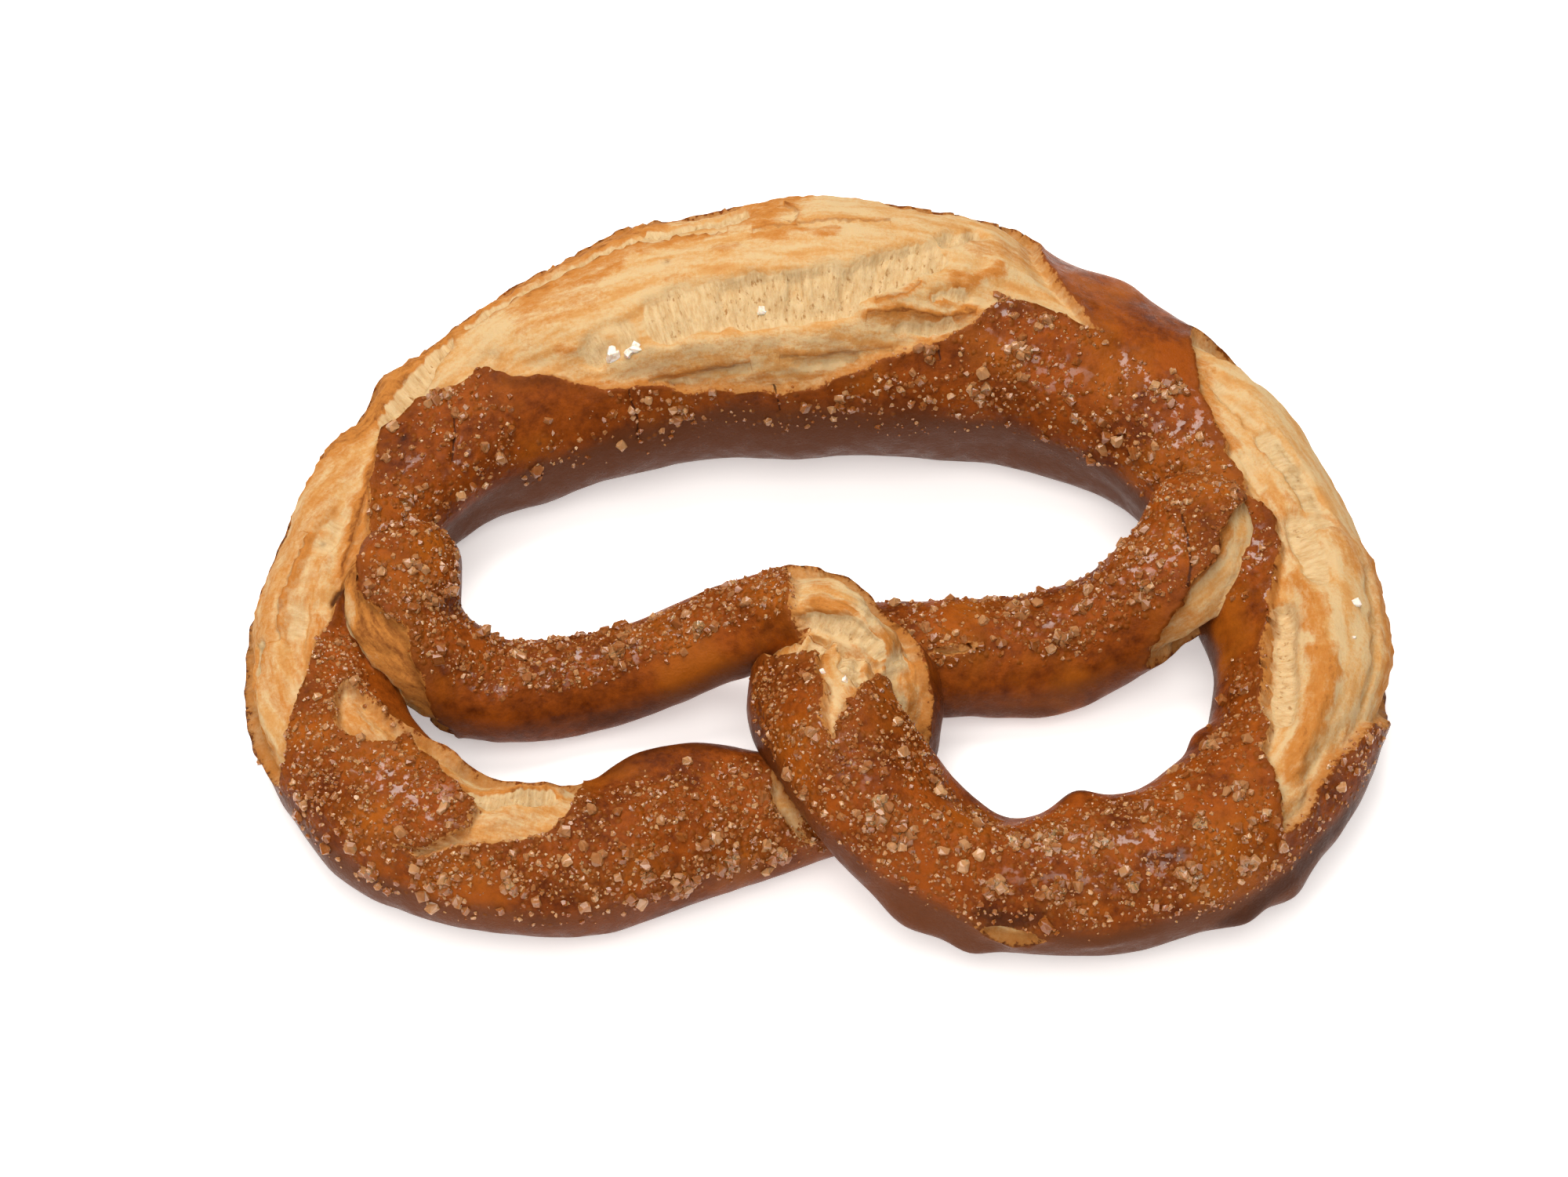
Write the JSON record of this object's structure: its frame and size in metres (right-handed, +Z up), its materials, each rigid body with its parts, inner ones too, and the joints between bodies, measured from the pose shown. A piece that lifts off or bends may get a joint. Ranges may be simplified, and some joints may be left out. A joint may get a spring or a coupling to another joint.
{
  "type": "soft pretzel",
  "caption": "Baked soft pretzel: a thick split belly, slim arms twisted in the middle and laid back on the loop, with coarse salt on the crust.",
  "frame": {"origin": "middle of the pretzel's outline, on the flat surface that it lies on", "axes": "+X along its width, from the left arm's side to the right arm's; +Y from the front loops to the fat belly; +Z up"},
  "size_m": [0.173, 0.1368, 0.0362],
  "materials": {
    "baked_dough": "glossy brown crust with a pale matte crumb in its splits"
  },
  "bodies": {
    "root": {"pretzel": "baked_dough"}
  },
  "joints": []
}
